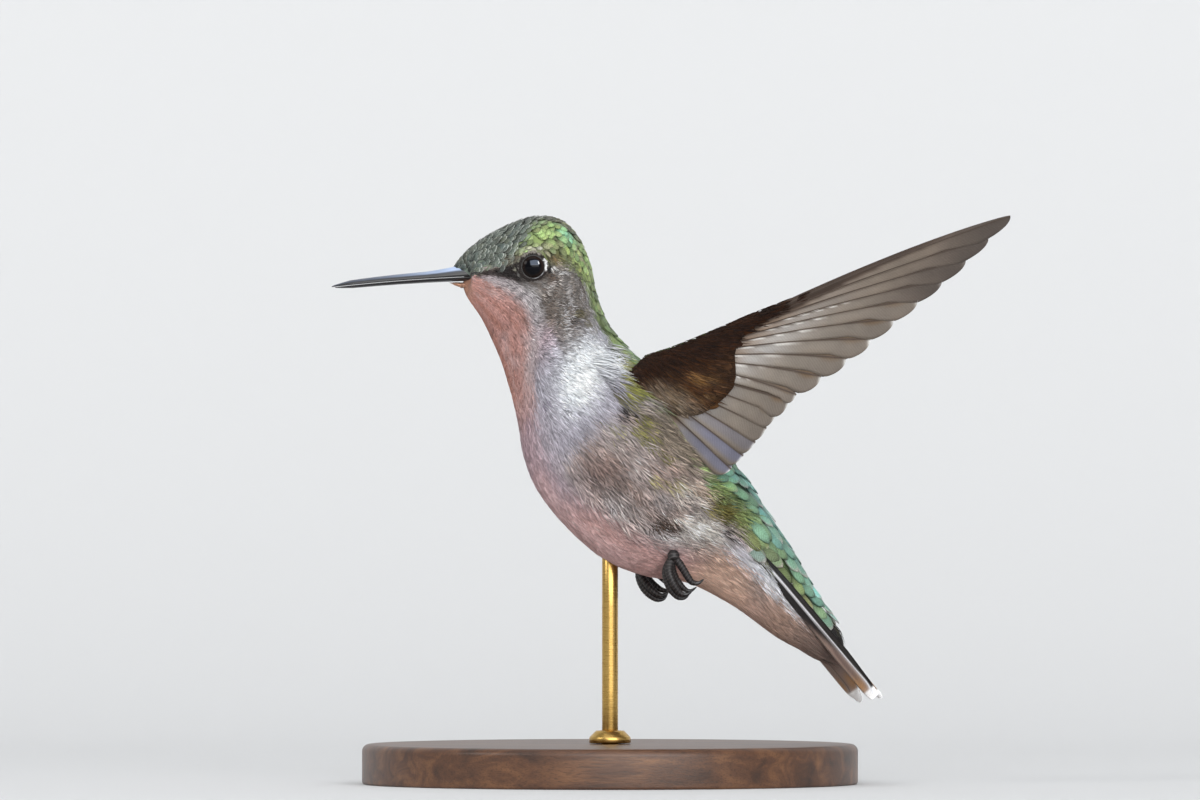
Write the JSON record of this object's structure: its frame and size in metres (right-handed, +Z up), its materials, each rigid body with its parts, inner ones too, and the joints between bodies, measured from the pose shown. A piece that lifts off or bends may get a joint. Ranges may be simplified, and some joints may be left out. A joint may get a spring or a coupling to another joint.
{
  "type": "hummingbird on a display stand",
  "caption": "Hovering female ruby-throated hummingbird with raised wings and clenched feet, life size, held above a round wooden base by a thin brass rod.",
  "frame": {"origin": "centre of the flat underside of the stand's round base", "axes": "+Z up; -X the way the bird faces, along its bill; -Y towards its left side"},
  "size_m": [0.0842, 0.062, 0.0711],
  "materials": {
    "green_plumage": "iridescent green feathers with golden and turquoise lights",
    "pale_plumage": "soft grey-white to peach-pink feathers",
    "covert_plumage": "dark chocolate-brown small wing feathers",
    "flight_feather": "satin grey-beige vanes with brown edges and shafts",
    "tail_feather": "dusky vanes with a black band, white tips and a white outer shaft",
    "horn": "black horn, semi-gloss",
    "eye": "black, wet gloss",
    "walnut": "dark walnut, satin lacquer",
    "brass": "polished brass"
  },
  "bodies": {
    "root": {"bill_upper": "horn", "bill_lower": "horn", "eye_left": "eye", "eye_right": "eye", "head": "green_plumage", "neck": "pale_plumage", "breast": "pale_plumage", "belly": "pale_plumage", "rump": "green_plumage", "tail": "tail_feather", "wing_left_arm": "covert_plumage", "wing_left_primaries": "flight_feather", "wing_left_secondaries": "flight_feather", "wing_right_arm": "covert_plumage", "wing_right_primaries": "flight_feather", "wing_right_secondaries": "flight_feather", "leg_left": "horn", "leg_right": "horn", "foot_left": "horn", "foot_right": "horn", "stand_base": "walnut", "stand_rod": "brass", "stand_collar": "brass"}
  },
  "joints": []
}
